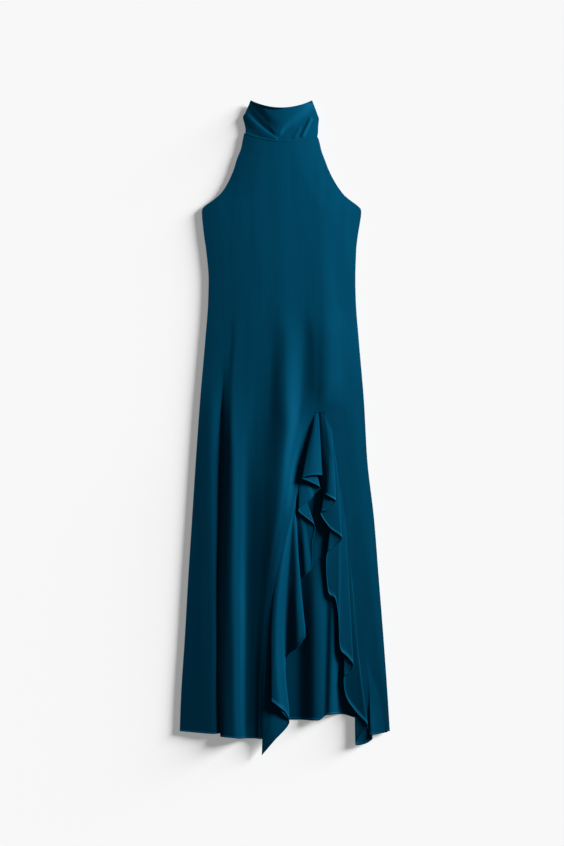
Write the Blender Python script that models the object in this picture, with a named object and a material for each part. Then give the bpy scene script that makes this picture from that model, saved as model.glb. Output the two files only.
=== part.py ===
"""A sleeveless halter dress in satin-faced jersey, laid face up on a flat surface.

+X is the wearer's left as the dress lies face up, +Y runs from hem to collar and +Z is up.
The origin is under the middle of the dress, on the surface that it lies on.
Five pieces are cut and sewn: back panel, front panel, draped collar and two flounces on the slit.
"""

import bpy
import numpy as np

# Driving sizes, in millimetres
MM = 0.001
WALL = 1.0
SEAM_GAP = 0.45
FLOUNCE_GAP = 1.0
UNDERARM_Y = 510
SLIT_TOP_Y = 36
SLIT_TOP_HALF = 8.5
HEM_Y = -722
EDGE_HEIGHT = 5.0
BODICE_RISE = 5.0
SKIRT_RISE = 3.0
BACK_INSET = 1.2
BACK_EDGE_LIFT = 2.2
BACK_EDGE_SHARE = 0.04
BACK_BOTTOM_Y = -711

CLOTH = (0.0010, 0.0482, 0.1050, 1.0)
CLOTH_DEEP = (0.0008, 0.0390, 0.0890, 1.0)

# Outline of both panels. Columns: height along the dress, left edge, right edge
SIDES = [
    (688, -95, 77),
    (680, -97, 80),
    (649, -103, 87),
    (626, -112, 95),
    (602, -120, 104),
    (579, -131, 116),
    (555, -146, 132),
    (543, -157, 142),
    (532, -171, 156),
    (520, -188, 172),
    (510, -195, 180),
    (452, -190, 172),
    (417, -185, 168),
    (346, -179, 166),
    (299, -180, 167),
    (205, -187, 174),
    (64, -199, 186),
    (-77, -209, 194),
    (-218, -218, 210),
    (-359, -227, 221),
    (-500, -235, 232),
    (-641, -244, 242),
    (-722, -247, 247),
]

# Lines along the front that its folds follow. Each has the cells from the line before it, the
# height of the hem on it, and stations. Station columns: height along the dress, share of the
# width from the left edge, lift above the plain cloth
FRONT_LINES = {
    "left side": (0, -714, [(688, 0.0, 0), (-722, 0.0, 0)]),
    "left strip": (
        2,
        -720,
        [(688, 0.08, 0), (205, 0.07, 0), (64, 0.073, 0.5), (-218, 0.077, 1.5), (-722, 0.105, 1.5)],
    ),
    "fold foot": (
        2,
        -717,
        [
            (688, 0.13, 0),
            (299, 0.115, 0),
            (205, 0.117, -0.5),
            (64, 0.137, -1.0),
            (-77, 0.146, -2.0),
            (-218, 0.154, -2.6),
            (-406, 0.174, -2.6),
            (-594, 0.190, -2.6),
            (-722, 0.204, -2.6),
        ],
    ),
    "fold face": (
        2,
        -726,
        [
            (688, 0.16, 0),
            (299, 0.125, 0),
            (205, 0.127, 1.0),
            (64, 0.146, 2.5),
            (-77, 0.149, 3.5),
            (-218, 0.148, 4.0),
            (-406, 0.164, 4.4),
            (-594, 0.180, 4.6),
            (-722, 0.200, 4.8),
        ],
    ),
    "fold crest": (
        2,
        -728,
        [
            (688, 0.19, 0),
            (299, 0.145, 0),
            (205, 0.146, 2.5),
            (64, 0.171, 6.0),
            (-77, 0.175, 9.0),
            (-218, 0.176, 10.5),
            (-406, 0.189, 11.5),
            (-594, 0.205, 11.5),
            (-722, 0.224, 11.5),
        ],
    ),
    "fold fall": (
        2,
        -730,
        [
            (688, 0.27, 0),
            (299, 0.245, 0),
            (205, 0.247, 1.0),
            (64, 0.256, 3.0),
            (-77, 0.265, 4.5),
            (-406, 0.275, 6.0),
            (-722, 0.286, 5.0),
        ],
    ),
    "first trough": (
        2,
        -731,
        [
            (688, 0.33, 0),
            (299, 0.30, 0),
            (205, 0.297, -0.3),
            (-77, 0.318, -1.0),
            (-406, 0.324, -2.0),
            (-722, 0.326, -2.0),
        ],
    ),
    "second foot": (
        2,
        -731,
        [
            (688, 0.42, 0),
            (299, 0.41, 0),
            (205, 0.409, -0.5),
            (-77, 0.420, -1.5),
            (-218, 0.412, -1.5),
            (-406, 0.391, -1.0),
            (-594, 0.372, 0),
            (-722, 0.360, 0),
        ],
    ),
    "second crest": (
        3,
        -732,
        [
            (688, 0.50, 0),
            (299, 0.495, 0),
            (205, 0.494, 2.5),
            (64, 0.494, 5.0),
            (-77, 0.496, 8.0),
            (-218, 0.484, 8.0),
            (-406, 0.424, 4.0),
            (-594, 0.389, 3.0),
            (-722, 0.379, 2.0),
        ],
    ),
    "second fall": (
        2,
        -732,
        [
            (688, 0.55, 0),
            (299, 0.59, 0),
            (205, 0.597, 0.5),
            (64, 0.573, 1.5),
            (-77, 0.557, 2.5),
            (-218, 0.519, 2.5),
            (-406, 0.435, 3.0),
            (-594, 0.396, 2.5),
            (-722, 0.386, 1.5),
        ],
    ),
    "left seam": (
        2,
        -732,
        [
            (688, 0.60, 0),
            (299, 0.66, 0),
            (205, 0.715, -0.5),
            (64, 0.706, -2.0),
            (33, 0.700, -3.2),
            (-77, 0.630, -3.6),
            (-147, 0.593, -3.4),
            (-218, 0.549, -2.0),
            (-277, 0.515, 1.0),
            (-352, 0.468, 3.6),
            (-406, 0.445, 4.0),
            (-500, 0.428, 3.0),
            (-594, 0.401, 1.5),
            (-722, 0.392, 0),
        ],
    ),
    "right seam": (
        2,
        -715,
        [
            (688, 0.68, 0),
            (299, 0.78, 0),
            (205, 0.79, 1.0),
            (64, 0.762, -1.0),
            (33, 0.757, -3.2),
            (-7, 0.806, -3.2),
            (-65, 0.823, -3.0),
            (-124, 0.836, -2.4),
            (-242, 0.856, -2.0),
            (-336, 0.870, -2.0),
            (-430, 0.887, -2.0),
            (-512, 0.906, -1.8),
            (-570, 0.921, -1.5),
            (-617, 0.945, -1.0),
            (-653, 0.965, -0.6),
            (-722, 0.985, 0),
        ],
    ),
    "right strip": (
        3,
        -714,
        [
            (688, 0.84, 0),
            (299, 0.89, 0),
            (205, 0.90, 1.5),
            (64, 0.89, 1.5),
            (-124, 0.925, 1.0),
            (-336, 0.942, 0.8),
            (-512, 0.957, 0.5),
            (-653, 0.984, 0),
            (-722, 0.994, 0),
        ],
    ),
    "right side": (2, -714, [(688, 1.0, 0), (-722, 1.0, 0)]),
}

# Folds in the back, seen through the slit. Columns: place of the crest at the slit's top, place
# at the hem, height at the hem, width to the left of the crest, width to the right
BACK_FOLDS = [
    (62, 70, 6.0, 44, 22),
    (100, 116, 4.5, 22, 20),
    (-60, -70, 3.0, 40, 34),
]
BACK_FOLD_TOP = -265
BACK_FOLD_FULL = -600
BACK_HEM_FADE_Y = -250

# Hem of the back. Columns: place across, height along the dress
BACK_HEM = [
    (-247, -711),
    (-150, -702),
    (12, -687),
    (78, -688),
    (100, -675),
    (132, -674),
    (163, -682),
    (247, -711),
]

# Neck seam, an arc that dips in the middle
NECK_MIDDLE_X = 3
NECK_MIDDLE_Y = 671
NECK_END_Y = 688
NECK_HALF_WIDTH = 90
NECK_FADE_Y = 560

# Collar. Columns: share of its height, left fold, right fold
COLLAR_SIDES = [
    (0.00, -92.5, 76.0),
    (0.12, -92.0, 78.0),
    (0.30, -94.5, 78.5),
    (0.48, -98.0, 80.0),
    (0.62, -93.0, 76.5),
    (0.80, -87.0, 71.0),
    (1.00, -80.0, 64.0),
]
COLLAR_TOP_ENDS_Y = 768
COLLAR_TOP_MIDDLE_Y = 751
COLLAR_BACK_TOP_Y = 745
COLLAR_FRONT_HEIGHT = 9.0
COLLAR_BACK_HEIGHT = 0.6
COLLAR_BACK_EDGE_LIFT = 1.6
COLLAR_TALL = 100.0

# Draped folds of the collar. Columns: start across, start share of height, end across, end share
# of height, height of the fold, half width
COLLAR_FOLDS = [
    (-84, 0.90, -16, 0.02, 5.0, 9),
    (-88, 0.70, -50, 0.10, 3.0, 7),
    (66, 0.92, -12, 0.04, 6.0, 12),
    (68, 0.95, 36, 0.10, 2.5, 6),
    (74, 0.72, 62, 0.20, 2.0, 5),
]

# Flounces: a key for each fold and each run between folds. Columns: height of the seam where the
# key starts, place across and along of the hem there, height of the hem off the surface, how far
# the middle of the key bows to the right, and its layer, counted up from the lowest run
LEFT_FLOUNCE = [
    (38, 86, -112, 13.0, 0, 4.3),
    (34, 73, -113, 15.0, 0, 4.0),
    (31, 57, -114, 15.5, 0, 4.0),
    (5, 41, -121, 13.5, 0, 3.5),
    (-20, 64, -132, 12.0, 0, 3.0),
    (-50, 83, -142, 10.5, 2, 2.5),
    (-85, 63, -172, 9.6, 0, 2.0),
    (-128, 31, -194, 8.4, 0, 1.5),
    (-140, 52, -216, 7.4, 0, 1.0),
    (-152, 73, -236, 6.4, 2, 0.5),
    (-163, 68, -290, 5.8, 3, 0.2),
    (-172, 61, -331, 6.4, 5, 0.0),
    (-180, 44, -352, 5.2, 3, 0.0),
    (-187, 30, -372, 4.4, 0, 0.5),
    (-194, 37, -420, 6.0, 1, 1.0),
    (-202, 49, -484, 9.6, 3, 1.6),
    (-255, 30, -518, 12.0, 5, 2.0),
    (-320, -2, -543, 8.0, 4, 2.4),
    (-352, -5, -600, 10.0, 6, 3.0),
    (-385, 14, -673, 13.0, 10, 3.6),
    (-450, -11, -662, 16.0, 5, 4.0),
    (-510, -31, -652, 13.0, 0, 3.0),
    (-560, 6, -688, 9.4, 0, 1.6),
    (-590, 11, -698, 7.8, 2, 1.0),
    (-640, -27, -737, 7.0, 0, 0.4),
    (-720, -55, -770, 5.4, 0, 0.2),
]
RIGHT_FLOUNCE = [
    (38, 84, -152, 13.0, 7, 4.3),
    (26, 102, -162, 15.0, 4, 4.0),
    (-5, 121, -176, 13.5, 2, 3.5),
    (-32, 102, -195, 11.6, 0, 3.0),
    (-58, 83, -203, 10.4, -2, 2.5),
    (-85, 106, -237, 10.6, 0, 2.0),
    (-112, 138, -264, 9.4, 0, 1.5),
    (-138, 113, -287, 7.8, 0, 1.0),
    (-164, 94, -313, 6.6, -3, 0.5),
    (-190, 101, -386, 6.4, -4, 0.0),
    (-206, 117, -402, 7.2, 0, 0.0),
    (-223, 127, -445, 5.6, 0, 0.3),
    (-251, 131, -525, 7.6, 0, 1.2),
    (-272, 146, -541, 10.0, 0, 2.2),
    (-300, 163, -561, 10.4, 0, 2.2),
    (-332, 152, -580, 8.4, 0, 1.6),
    (-359, 138, -592, 6.8, -2, 0.9),
    (-394, 145, -636, 6.0, 0, 0.5),
    (-428, 172, -676, 10.0, 2, 1.2),
    (-460, 201, -706, 11.0, 1, 1.6),
    (-500, 182, -718, 8.8, 0, 1.0),
    (-535, 163, -749, 7.2, -3, 0.3),
    (-566, 188, -744, 6.0, 0, -0.3),
    (-592, 207, -734, 5.0, 0, 0.2),
    (-608, 200, -724, 7.4, -1, 1.0),
    (-640, 216, -721, 7.6, 0, 1.0),
    (-706, 238, -716, 5.4, 0, 1.0),
]
FLOUNCE_STEPS = 3
FLOUNCE_CELLS = 6
FLOUNCE_FLARE = 1.15

# Stacking of the flounces' layers: distance between two runs, rounds of lifting, rounds with
# smoothing, share of the missing height added in a round, the most it adds, smoothing, and how far
# apart along the sheet two runs must be before they are lifted, first a little and then in full
LAYER_PITCH = 2.4
LAYER_ROUNDS = 60
LAYER_SOFT_ROUNDS = 42
LAYER_RATE = 0.7
LAYER_MOST = 1.0
LAYER_SOFT = 0.12
TURN_STEPS = 1.2
FULL_STEPS = 1.7
SMALLEST_CELL = 0.5
SAME_LAYER = 0.05
EDGE_REACH = 0.05


def clear_scene():
    for obj in list(bpy.data.objects):
        bpy.data.objects.remove(obj)


def cloth_material(name, colour):
    material = bpy.data.materials.new(name)
    material.use_nodes = True
    shader = material.node_tree.nodes["Principled BSDF"]
    shader.inputs["Base Color"].default_value = colour
    shader.inputs["Roughness"].default_value = 0.5
    shader.inputs["Metallic"].default_value = 0.0
    return material


def through(stations, column, at):
    """A smooth curve through one column of a table, which never swings past its rows."""
    rows = sorted(stations)
    x = np.array([row[0] for row in rows], float)
    y = np.array([row[column] for row in rows], float)
    return monotone(x, y, at)


def monotone(x, y, at):
    """Cubic pieces through the points, with slopes that keep each stretch between its ends."""
    step = np.diff(x)
    rise = np.diff(y, axis=0).T / step
    rise = rise.T
    slope = np.zeros_like(y)
    left, right = rise[:-1], rise[1:]
    same_way = left * right > 0
    total = np.where(same_way, left + right, 1.0)
    slope[1:-1] = np.where(same_way, 2 * left * right / total, 0.0)
    slope[0], slope[-1] = rise[0], rise[-1]
    at = np.clip(np.asarray(at, float), x[0], x[-1])
    piece = np.clip(np.searchsorted(x, at, side="right") - 1, 0, len(step) - 1)
    t = (at - x[piece]) / step[piece]
    h = step[piece]
    return (
        (1 + 2 * t) * (1 - t) ** 2 * y[piece]
        + t * (1 - t) ** 2 * h * slope[piece]
        + t * t * (3 - 2 * t) * y[piece + 1]
        + t * t * (t - 1) * h * slope[piece + 1]
    )


def loose(keys, steps):
    """A rounded curve through every key, with the same number of steps between keys."""
    keys = np.asarray(keys, float)
    count = len(keys)
    spots = np.linspace(0, count - 1, (count - 1) * steps + 1)
    ends = np.vstack([2 * keys[:1] - keys[1:2], keys, 2 * keys[-1:] - keys[-2:-1]])
    piece = np.minimum(spots.astype(int), count - 2)
    t = (spots - piece)[:, None]
    a, b, c, d = (ends[piece + k] for k in range(4))
    return 0.5 * (2 * b + (c - a) * t + (2 * a - 5 * b + 4 * c - d) * t**2 + (3 * b - a - 3 * c + d) * t**3)


def fade(value, start, full):
    t = np.clip((value - start) / (full - start), 0, 1)
    return t * t * (3 - 2 * t)


def neck_seam(x):
    return NECK_MIDDLE_Y + (NECK_END_Y - NECK_MIDDLE_Y) * ((x - NECK_MIDDLE_X) / NECK_HALF_WIDTH) ** 2


def levels(*zones):
    """Heights of the rows: each zone is its first height, its last height and its number of rows."""
    rows = [np.linspace(first, last, count, endpoint=False) for first, last, count in zones]
    return np.concatenate(rows + [[zones[-1][1]]])


def plain_height(share, y):
    """The cloth with no folds: low at the side seams and softly raised between them."""
    rise = SKIRT_RISE + (BODICE_RISE - SKIRT_RISE) * fade(y, 64, 299)
    return EDGE_HEIGHT + rise * (1 - np.abs(2 * share - 1) ** 2.2)


def front_lines_at(y):
    """Place across and height of every fold line at one level, as two lists."""
    left, right = through(SIDES, 1, y), through(SIDES, 2, y)
    across, heights = [], []
    for _, _, stations in FRONT_LINES.values():
        share = through(stations, 1, y)
        across.append(left + share * (right - left))
        heights.append(plain_height(share, y) + through(stations, 2, y))
    return np.array(across), np.array(heights)


def line_columns():
    """Where each column of the front lies among its fold lines, and the two seams' columns."""
    spots, seams = [0.0], []
    for index, (name, (cells, _, _)) in enumerate(FRONT_LINES.items()):
        if index:
            spots += list(index - 1 + np.arange(1, cells + 1) / cells)
        if name in ("left seam", "right seam"):
            seams.append(len(spots) - 1)
    return np.array(spots), seams


def front_grid():
    """Points of the front panel, from neck to hem, and the cells that the slit leaves out."""
    spots, (left_seam, right_seam) = line_columns()
    bodice = (NECK_END_Y, UNDERARM_Y, 9), (UNDERARM_Y, SLIT_TOP_Y, 10)
    rows = levels(*bodice, (SLIT_TOP_Y, -70, 6), (-70, HEM_Y, 18))
    order = np.arange(len(FRONT_LINES), dtype=float)
    hems = monotone(order, np.array([line[1] for line in FRONT_LINES.values()], float), spots)
    points = np.zeros((len(rows), len(spots), 3))
    for r, y in enumerate(rows):
        across, heights = front_lines_at(y)
        x = monotone(order, across, spots)
        z = monotone(order, heights, spots)
        neck = (neck_seam(x) - SEAM_GAP - NECK_END_Y) * fade(y, NECK_FADE_Y, NECK_END_Y)
        hem = (hems - HEM_Y) * fade(y, SLIT_TOP_Y, HEM_Y)
        points[r] = np.stack([x, y + neck + hem, z], axis=1)
    keep = np.ones((len(rows) - 1, len(spots) - 1), bool)
    slit = rows[:-1] <= SLIT_TOP_Y
    keep[slit, left_seam:right_seam] = False
    return points, keep


def seam_at(name, y):
    """A point of the front panel's slit edge."""
    _, hem, stations = FRONT_LINES[name]
    share = through(stations, 1, y)
    left, right = through(SIDES, 1, y), through(SIDES, 2, y)
    drop = (hem - HEM_Y) * fade(y, SLIT_TOP_Y, HEM_Y)
    z = plain_height(share, y) + through(stations, 2, y)
    return np.stack([left + share * (right - left), y + drop, z], axis=-1)


def back_grid():
    """The underside of the back panel: flat, but for its side edges and the folds seen in the slit."""
    plain, folded = np.linspace(0.12, 0.5, 6), np.linspace(0.54, 0.94, 17)
    shares = np.concatenate([[0, 0.02, 0.05], plain, folded, [0.975, 1.0]])
    rows = levels((NECK_END_Y, UNDERARM_Y, 9), (UNDERARM_Y, -200, 5), (-200, BACK_BOTTOM_Y, 12))
    points = np.zeros((len(rows), len(shares), 3))
    for r, y in enumerate(rows):
        left = through(SIDES, 1, y) + BACK_INSET
        right = through(SIDES, 2, y) - BACK_INSET
        x = left + shares * (right - left)
        z = BACK_EDGE_LIFT * (fade(shares, BACK_EDGE_SHARE, 0) + fade(1 - shares, BACK_EDGE_SHARE, 0))
        for top_x, hem_x, height, wide_left, wide_right in BACK_FOLDS:
            down = (y - SLIT_TOP_Y) / (BACK_BOTTOM_Y - SLIT_TOP_Y)
            off = x - (top_x + (hem_x - top_x) * down)
            reach = np.where(off < 0, wide_left, wide_right)
            bump = np.cos(np.pi / 2 * np.clip(np.abs(off) / reach, 0, 1)) ** 2
            z = z + height * bump * fade(y, BACK_FOLD_TOP, BACK_FOLD_FULL)
        neck = (neck_seam(x) - SEAM_GAP - NECK_END_Y) * fade(y, NECK_FADE_Y, NECK_END_Y)
        hem = (through(BACK_HEM, 1, x) - BACK_BOTTOM_Y) * fade(y, BACK_HEM_FADE_Y, BACK_BOTTOM_Y)
        points[r] = np.stack([x, y + neck + hem, z], axis=1)
    return points


def collar_height(x, share):
    """Height of the collar's front layer with its draped folds."""
    z = COLLAR_FRONT_HEIGHT * np.ones_like(x)
    for x0, s0, x1, s1, height, width in COLLAR_FOLDS:
        up = (share - s0) * COLLAR_TALL
        run = np.array([x1 - x0, (s1 - s0) * COLLAR_TALL])
        nearest = np.clip(((x - x0) * run[0] + up * run[1]) / (run @ run), 0, 1)
        off = np.hypot(x - x0 - nearest * run[0], up - nearest * run[1])
        z = z + height * np.cos(np.pi / 2 * np.clip(off / width, 0, 1)) ** 2
    return z


def collar_rings():
    """Rings of the flattened tube, from the neck seam up: front, right fold, back, left fold."""
    across = np.cos(np.linspace(np.pi, 0, 19))
    behind = across[-2:0:-2]
    rings = []
    for share in np.linspace(0, 1, 10):
        left, right = through(COLLAR_SIDES, 1, share), through(COLLAR_SIDES, 2, share)
        middle, half = (left + right) / 2, (right - left) / 2
        x_front, x_back = middle + half * across, middle + half * behind
        top = COLLAR_TOP_MIDDLE_Y + (COLLAR_TOP_ENDS_Y - COLLAR_TOP_MIDDLE_Y) * across**2
        y_front = neck_seam(x_front) + SEAM_GAP + share * (top - neck_seam(x_front) - SEAM_GAP)
        back_top = COLLAR_BACK_TOP_Y + (COLLAR_TOP_ENDS_Y - COLLAR_BACK_TOP_Y) * behind**4
        y_back = neck_seam(x_back) + SEAM_GAP + share * (back_top - neck_seam(x_back) - SEAM_GAP)
        edge = 1 - np.abs(across) ** 6
        z_front = EDGE_HEIGHT + (collar_height(x_front, share) - EDGE_HEIGHT) * edge
        z_back = COLLAR_BACK_HEIGHT + COLLAR_BACK_EDGE_LIFT * np.abs(behind) ** 8
        front = np.stack([x_front, y_front, z_front], 1)
        behind_it = np.stack([x_back, y_back, z_back], 1)
        rings.append(np.vstack([front, behind_it]))
    return np.array(rings)


def flounce_grid(keys, seam_name, side):
    """A flounce from its seam to its hem. Its keys fan out, so its outer edge folds on itself."""
    table = loose(keys, FLOUNCE_STEPS)
    seam = seam_at(seam_name, np.minimum(table[:, 0], SLIT_TOP_Y - 2))
    arch = fade(table[:, 0], SLIT_TOP_Y - 6, SLIT_TOP_Y + 2)
    seam[:, 0] += side * (FLOUNCE_GAP + SLIT_TOP_HALF * arch)
    seam[:, 1] -= FLOUNCE_GAP
    hem = table[:, 1:4]
    down = np.linspace(0, 1, FLOUNCE_CELLS + 1)
    points = np.zeros((len(table), len(down), 3))
    for c, v in enumerate(down):
        points[:, c] = seam + (hem - seam) * v
        points[:, c, 0] += table[:, 4] * 4 * v * (1 - v)
        points[:, c, 2] = seam[:, 2] + (hem[:, 2] - seam[:, 2]) * v**FLOUNCE_FLARE
    return in_order(points, table[:, 5])


def in_order(points, layers):
    """Lifts the points of a folded sheet until each run clears the runs that lie under it."""
    rows, columns = points.shape[:2]
    index = np.arange(rows * columns).reshape(rows, columns)
    near, far = index[:-1], index[1:]
    corners = np.concatenate(
        [
            np.stack([near[:, :-1], far[:, :-1], far[:, 1:]], -1).reshape(-1, 3),
            np.stack([near[:, :-1], far[:, 1:], near[:, 1:]], -1).reshape(-1, 3),
        ]
    )
    flat = points.reshape(-1, 3)
    layer = np.repeat(layers, columns)
    a, b, c = (flat[corners[:, k], :2] for k in range(3))
    area = (b[:, 0] - a[:, 0]) * (c[:, 1] - a[:, 1]) - (b[:, 1] - a[:, 1]) * (c[:, 0] - a[:, 0])
    flat_enough = np.abs(area) > SMALLEST_CELL
    area = np.where(flat_enough, area, 1.0)
    dx = flat[:, None, 0] - a[None, :, 0]
    dy = flat[:, None, 1] - a[None, :, 1]
    second = (dx * (c - a)[:, 1] - dy * (c - a)[:, 0]) / area
    third = (dy * (b - a)[:, 0] - dx * (b - a)[:, 1]) / area
    shares = np.stack([1 - second - third, second, third], -1)
    apart = layer[:, None] - layer[corners].mean(1)[None, :]
    row = np.repeat(np.arange(rows), columns)
    steps = np.abs(row[:, None] - row[corners].mean(1)[None, :])
    covers = (shares.min(-1) > -EDGE_REACH) & flat_enough[None, :]
    point, cell = np.nonzero(covers & (steps > TURN_STEPS) & (np.abs(apart) > SAME_LAYER))
    share = shares[point, cell]
    over = apart[point, cell] > 0
    wanted = LAYER_PITCH * np.clip(steps[point, cell] / FULL_STEPS, 0, 1)
    z = flat[:, 2].copy()
    for turn in range(LAYER_ROUNDS):
        height = (share * z[corners[cell]]).sum(1)
        short = np.clip(wanted - np.where(over, z[point] - height, height - z[point]), 0, None)
        lift = np.zeros_like(z)
        np.maximum.at(lift, point[over], short[over])
        np.maximum.at(lift, corners[cell[~over]], short[~over, None])
        z += np.minimum(LAYER_RATE * lift, LAYER_MOST)
        if turn < LAYER_SOFT_ROUNDS:
            grid = z.reshape(rows, columns)
            soft = grid.copy()
            soft[1:-1, 1:] += LAYER_SOFT * (grid[2:, 1:] + grid[:-2, 1:] - 2 * grid[1:-1, 1:])
            soft[:, 1:-1] += LAYER_SOFT * (grid[:, 2:] + grid[:, :-2] - 2 * grid[:, 1:-1])
            soft[:, 0] = points[:, 0, 2]
            z = soft.reshape(-1)
    lifted = points.copy()
    lifted[..., 2] = z.reshape(rows, columns)
    lifted[:, 0, 2] = points[:, 0, 2]
    return lifted


def mesh_object(name, points, faces, thickness, offset, material):
    """A thin wall on a surface of quads, as one closed body."""
    mesh = bpy.data.meshes.new(name)
    mesh.from_pydata([tuple(p) for p in points], [], faces)
    mesh.update()
    obj = bpy.data.objects.new(name, mesh)
    bpy.context.collection.objects.link(obj)
    wall = obj.modifiers.new("Wall", "SOLIDIFY")
    wall.thickness = thickness * MM
    wall.offset = offset
    wall.use_rim = True
    mesh.materials.append(material)
    mesh.shade_smooth()
    return obj


def sheet_object(name, grid, material, keep=None, offset=0.0, closed=False, flip=False):
    """A sheet on a grid of points. A closed one joins its last column to its first."""
    rows, columns = grid.shape[:2]
    last = columns if closed else columns - 1
    faces = []
    for r in range(rows - 1):
        for c in range(last):
            if keep is not None and not keep[r, c]:
                continue
            d = (c + 1) % columns
            face = (r * columns + c, (r + 1) * columns + c, (r + 1) * columns + d, r * columns + d)
            faces.append(face[::-1] if flip else face)
    used = sorted({i for face in faces for i in face})
    place = {old: new for new, old in enumerate(used)}
    faces = [tuple(place[i] for i in face) for face in faces]
    points = grid.reshape(-1, 3)[used] * MM
    return mesh_object(name, points, faces, WALL, offset, material)


def build():
    clear_scene()
    cloth = cloth_material("Satin-faced jersey", CLOTH)
    under = cloth_material("Satin-faced jersey of the back", CLOTH_DEEP)
    front, keep = front_grid()
    sheet_object("front_panel", front, cloth, keep=keep)
    sheet_object("back_panel", back_grid(), under, offset=1.0)
    sheet_object("collar", collar_rings(), cloth, closed=True, flip=True)
    sheet_object("flounce_left", flounce_grid(LEFT_FLOUNCE, "left seam", 1), cloth)
    sheet_object("flounce_right", flounce_grid(RIGHT_FLOUNCE, "right seam", -1), cloth, flip=True)


build()
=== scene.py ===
import math

import bpy
import numpy as np
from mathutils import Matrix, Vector


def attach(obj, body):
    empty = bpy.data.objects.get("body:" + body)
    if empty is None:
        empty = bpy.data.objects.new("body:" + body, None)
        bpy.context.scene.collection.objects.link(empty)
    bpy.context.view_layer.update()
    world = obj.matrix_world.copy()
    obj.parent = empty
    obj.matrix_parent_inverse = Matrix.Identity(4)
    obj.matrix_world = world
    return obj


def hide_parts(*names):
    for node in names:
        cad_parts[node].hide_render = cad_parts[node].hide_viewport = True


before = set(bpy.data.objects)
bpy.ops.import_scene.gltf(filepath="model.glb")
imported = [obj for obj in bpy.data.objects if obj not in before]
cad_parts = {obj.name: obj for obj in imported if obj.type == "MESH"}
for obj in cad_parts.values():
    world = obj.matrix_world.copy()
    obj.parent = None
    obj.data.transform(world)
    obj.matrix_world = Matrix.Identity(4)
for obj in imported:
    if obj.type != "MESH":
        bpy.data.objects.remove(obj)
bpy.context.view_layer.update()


# Camera
# The dress lies face up and is seen from straight above, as on a photographer's copy stand. The
# lens is long, so the hem and the collar are seen without lean. Depth of field is off.
MM = 0.001
PICTURE_HEIGHT = 846
# The photograph's scale, which holds at the level of the cloth and not of the board
MM_A_PIXEL = 2.35
CLOTH_LEVEL = 0.008
CAMERA_HEIGHT = 6.0
CAMERA_X = -0.0065
CAMERA_Y = 0.0100
SENSOR = 24.0
FAR_CLIP = 60.0

view = bpy.data.cameras.new("Copy stand camera")
view.sensor_fit = "VERTICAL"
view.sensor_height = SENSOR
view.lens = SENSOR * (CAMERA_HEIGHT - CLOTH_LEVEL) / (PICTURE_HEIGHT * MM_A_PIXEL * MM)
view.clip_end = FAR_CLIP
camera = bpy.data.objects.new("Copy stand camera", view)
camera.location = (CAMERA_X, CAMERA_Y, CAMERA_HEIGHT)
bpy.context.scene.collection.objects.link(camera)
bpy.context.scene.camera = camera


# Floor
# A sheet of matt white board, larger than the view, that the dress is laid on. It looks evenly
# white with no gleam, and its faint glow stands for the light that a white room throws back.
FLOOR_HALF = 5.0
FLOOR_WHITE = "E6E6E6"
FLOOR_GLOW = 0.27


def linear(colour):
    """An sRGB hex colour as linear red, green, blue and alpha."""
    parts = [int(colour[k : k + 2], 16) / 255 for k in (0, 2, 4)]
    return [p / 12.92 if p <= 0.04045 else ((p + 0.055) / 1.055) ** 2.4 for p in parts] + [1.0]


def add_node(material, kind, settings=None, links=None):
    """A shader node with its settings. Links go from (node, output) to one of its inputs."""
    tree = material.node_tree
    node = tree.nodes.new(kind)
    for name, value in (settings or {}).items():
        if isinstance(name, str) and hasattr(node, name):
            setattr(node, name, value)
        else:
            node.inputs[name].default_value = value
    for name, (source, output) in (links or {}).items():
        tree.links.new(source.outputs[output], node.inputs[name])
    return node


def new_material(name):
    """A material with an empty node tree."""
    material = bpy.data.materials.new(name)
    material.use_nodes = True
    material.node_tree.nodes.clear()
    return material


def finish_material(material, shader):
    """Joins the shader to the material's output."""
    add_node(material, "ShaderNodeOutputMaterial", links={"Surface": (shader, 0)})


board = new_material("Matt white board")
board_shader = add_node(
    board, "ShaderNodeBsdfPrincipled", {
        "Base Color": linear(FLOOR_WHITE),
        "Roughness": 0.9,
        "Specular IOR Level": 0.1,
        "Emission Color": linear("FFFFFF"),
        "Emission Strength": FLOOR_GLOW,
    },
)
finish_material(board, board_shader)
floor_mesh = bpy.data.meshes.new("Floor")
corners = [(x * FLOOR_HALF, y * FLOOR_HALF, 0.0) for x, y in ((-1, -1), (1, -1), (1, 1), (-1, 1))]
floor_mesh.from_pydata(corners, [], [(0, 1, 2, 3)])
floor_mesh.materials.append(board)
floor = bpy.data.objects.new("Floor", floor_mesh)
bpy.context.scene.collection.objects.link(floor)


# Light
# One soft lamp stands low at the upper right, a little beyond the collar, so every fold is bright
# on its right flank and the skirt darkens towards the hem. The board has a lamp of its own from
# the same side, with parallel rays, so that it stays evenly white round the soft shadow.
KEY_ELEVATION = 15.0
KEY_TURN = 28.0
KEY_AWAY = 2.2
KEY_POWER = 455.0
KEY_RADIUS = 0.34
BOARD_KEY_ELEVATION = 11.0
BOARD_KEY_STRENGTH = 13.05
BOARD_KEY_SOFTNESS = 22.0
ROOM_STRENGTH = 0.05


def lamp(name, kind, lit, settings, place, turn):
    """A lamp that lights one collection only, with its settings, place and turn."""
    light = bpy.data.lights.new(name, kind)
    for setting, value in settings.items():
        setattr(light, setting, value)
    stand = bpy.data.objects.new(name, light)
    stand.location = place
    stand.rotation_euler = turn
    stand.light_linking.receiver_collection = lit
    bpy.context.scene.collection.objects.link(stand)


def turn_from(elevation):
    """How a lamp is turned to shine down from this elevation."""
    return (0, math.radians(90 - elevation), math.radians(KEY_TURN))


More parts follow.
